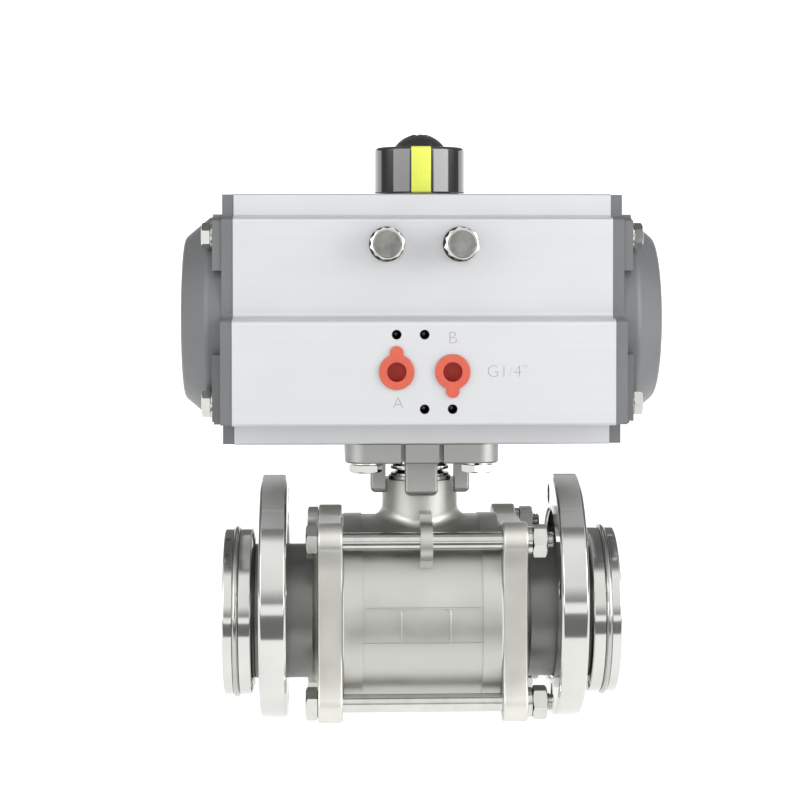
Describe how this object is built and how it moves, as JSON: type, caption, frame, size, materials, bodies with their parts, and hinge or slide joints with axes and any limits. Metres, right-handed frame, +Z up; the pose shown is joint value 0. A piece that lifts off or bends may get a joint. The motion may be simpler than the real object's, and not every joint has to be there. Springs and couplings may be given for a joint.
{
  "type": "pneumatic actuated ball valve",
  "caption": "Three-piece ball valve with loose-flange pipe ends, turned a quarter turn by a rack-and-pinion air cylinder mounted on top with a position indicator.",
  "frame": {"origin": "centre of the ball, where the pipe's axis crosses the stem's axis", "axes": "+X along the pipe, -Y towards the air-port face, +Z up the stem towards the position indicator"},
  "size_m": [0.2136, 0.1183, 0.2636],
  "materials": {
    "cast_stainless": "bead-blasted cast stainless steel, satin, slightly warm grey",
    "turned_stainless": "lathe-turned stainless steel with fine circular tool marks, bright",
    "spring_wire": "drawn spring steel wire and strip, bright",
    "stainless_fasteners": "polished stainless steel fasteners",
    "polished_stainless": "ground and polished stainless steel",
    "white_ptfe": "smooth white PTFE, waxy",
    "gland_steel": "machined stainless steel",
    "anodised_aluminium": "fine-blasted and clear-anodised extruded aluminium, satin, very light grey",
    "grey_paint": "mid grey polyester powder coat, satin with faint orange peel",
    "black_rubber": "black nitrile rubber",
    "acetal": "off-white acetal",
    "nickel_plated_steel": "nickel-plated alloy steel",
    "cast_aluminium": "die-cast aluminium, machined where it fits",
    "black_plastic": "glossy black moulded plastic",
    "yellow_plastic": "bright greenish yellow moulded plastic",
    "orange_plastic": "soft translucent orange-red moulded plastic"
  },
  "bodies": {
    "housing": {"valve_body": "cast_stainless", "left_end_cap": "cast_stainless", "right_end_cap": "cast_stainless", "left_body_gasket": "white_ptfe", "right_body_gasket": "white_ptfe", "left_seat": "white_ptfe", "right_seat": "white_ptfe", "left_hub": "turned_stainless", "right_hub": "turned_stainless", "left_retaining_wire": "spring_wire", "right_retaining_wire": "spring_wire", "tie_bolts": "stainless_fasteners", "tie_bolt_washers": "stainless_fasteners", "tie_bolt_nuts": "stainless_fasteners", "stem_thrust_washer": "white_ptfe", "stem_packing": "white_ptfe", "gland_bush": "gland_steel", "mounting_bolts": "stainless_fasteners", "mounting_bolt_washers": "stainless_fasteners", "actuator_body": "anodised_aluminium", "left_end_cover": "grey_paint", "right_end_cover": "grey_paint", "left_cover_seal": "black_rubber", "right_cover_seal": "black_rubber", "cover_bolts": "stainless_fasteners", "cover_bolt_washers": "stainless_fasteners", "pinion_lower_bearing": "acetal", "pinion_upper_bearing": "acetal", "pinion_thrust_washer": "acetal", "stop_bolts": "stainless_fasteners", "stop_bolt_nuts": "stainless_fasteners", "stop_bolt_seals": "black_rubber"},
    "drive_train": {"ball": "polished_stainless", "stem": "polished_stainless", "disc_springs": "spring_wire", "nut_lock_tab": "stainless_fasteners", "stem_nut": "stainless_fasteners", "drive_adapter": "gland_steel", "pinion": "nickel_plated_steel", "stop_cam": "nickel_plated_steel", "pinion_lower_seal": "black_rubber", "pinion_upper_seal": "black_rubber", "pinion_circlip": "spring_wire", "indicator_body": "black_plastic", "indicator_stripe": "yellow_plastic", "indicator_screw": "black_plastic"},
    "left_piston": {"left_piston": "cast_aluminium", "left_piston_seal": "black_rubber", "left_piston_guide_ring": "acetal", "left_piston_rack_pad": "acetal"},
    "right_piston": {"right_piston": "cast_aluminium", "right_piston_seal": "black_rubber", "right_piston_guide_ring": "acetal", "right_piston_rack_pad": "acetal"},
    "left_loose_flange": {"left_loose_flange": "turned_stainless"},
    "right_loose_flange": {"right_loose_flange": "turned_stainless"},
    "port_plug_a": {"port_plug_a": "orange_plastic"},
    "port_plug_b": {"port_plug_b": "orange_plastic"}
  },
  "joints": [
    {"name": "stem_turn", "type": "hinge", "parent": "housing", "child": "drive_train", "pos_m": [0, 0, 0.133], "axis": [0, 0, 1], "range_deg": [0, 90]},
    {"name": "left_piston_slide", "type": "slide", "parent": "housing", "child": "left_piston", "axis": [-1, 0, 0], "range_m": [0, 0.026]},
    {"name": "right_piston_slide", "type": "slide", "parent": "housing", "child": "right_piston", "axis": [1, 0, 0], "range_m": [0, 0.026]},
    {"name": "left_flange_turn", "type": "hinge", "parent": "housing", "child": "left_loose_flange", "pos_m": [-0.0656, 0, 0.0073], "axis": [1, 0, 0], "continuous": true},
    {"name": "right_flange_turn", "type": "hinge", "parent": "housing", "child": "right_loose_flange", "pos_m": [0.0656, 0, 0.0073], "axis": [1, 0, 0], "continuous": true},
    {"name": "port_plug_a_pull", "type": "slide", "parent": "housing", "child": "port_plug_a", "axis": [0, -1, 0], "range_m": [0, 0.015]},
    {"name": "port_plug_b_pull", "type": "slide", "parent": "housing", "child": "port_plug_b", "axis": [0, -1, 0], "range_m": [0, 0.015]}
  ],
  "couplings": [
    {"joint": "left_piston_slide", "follows": "stem_turn", "m_per_rad": 0.0165},
    {"joint": "right_piston_slide", "follows": "stem_turn", "m_per_rad": 0.0165}
  ]
}
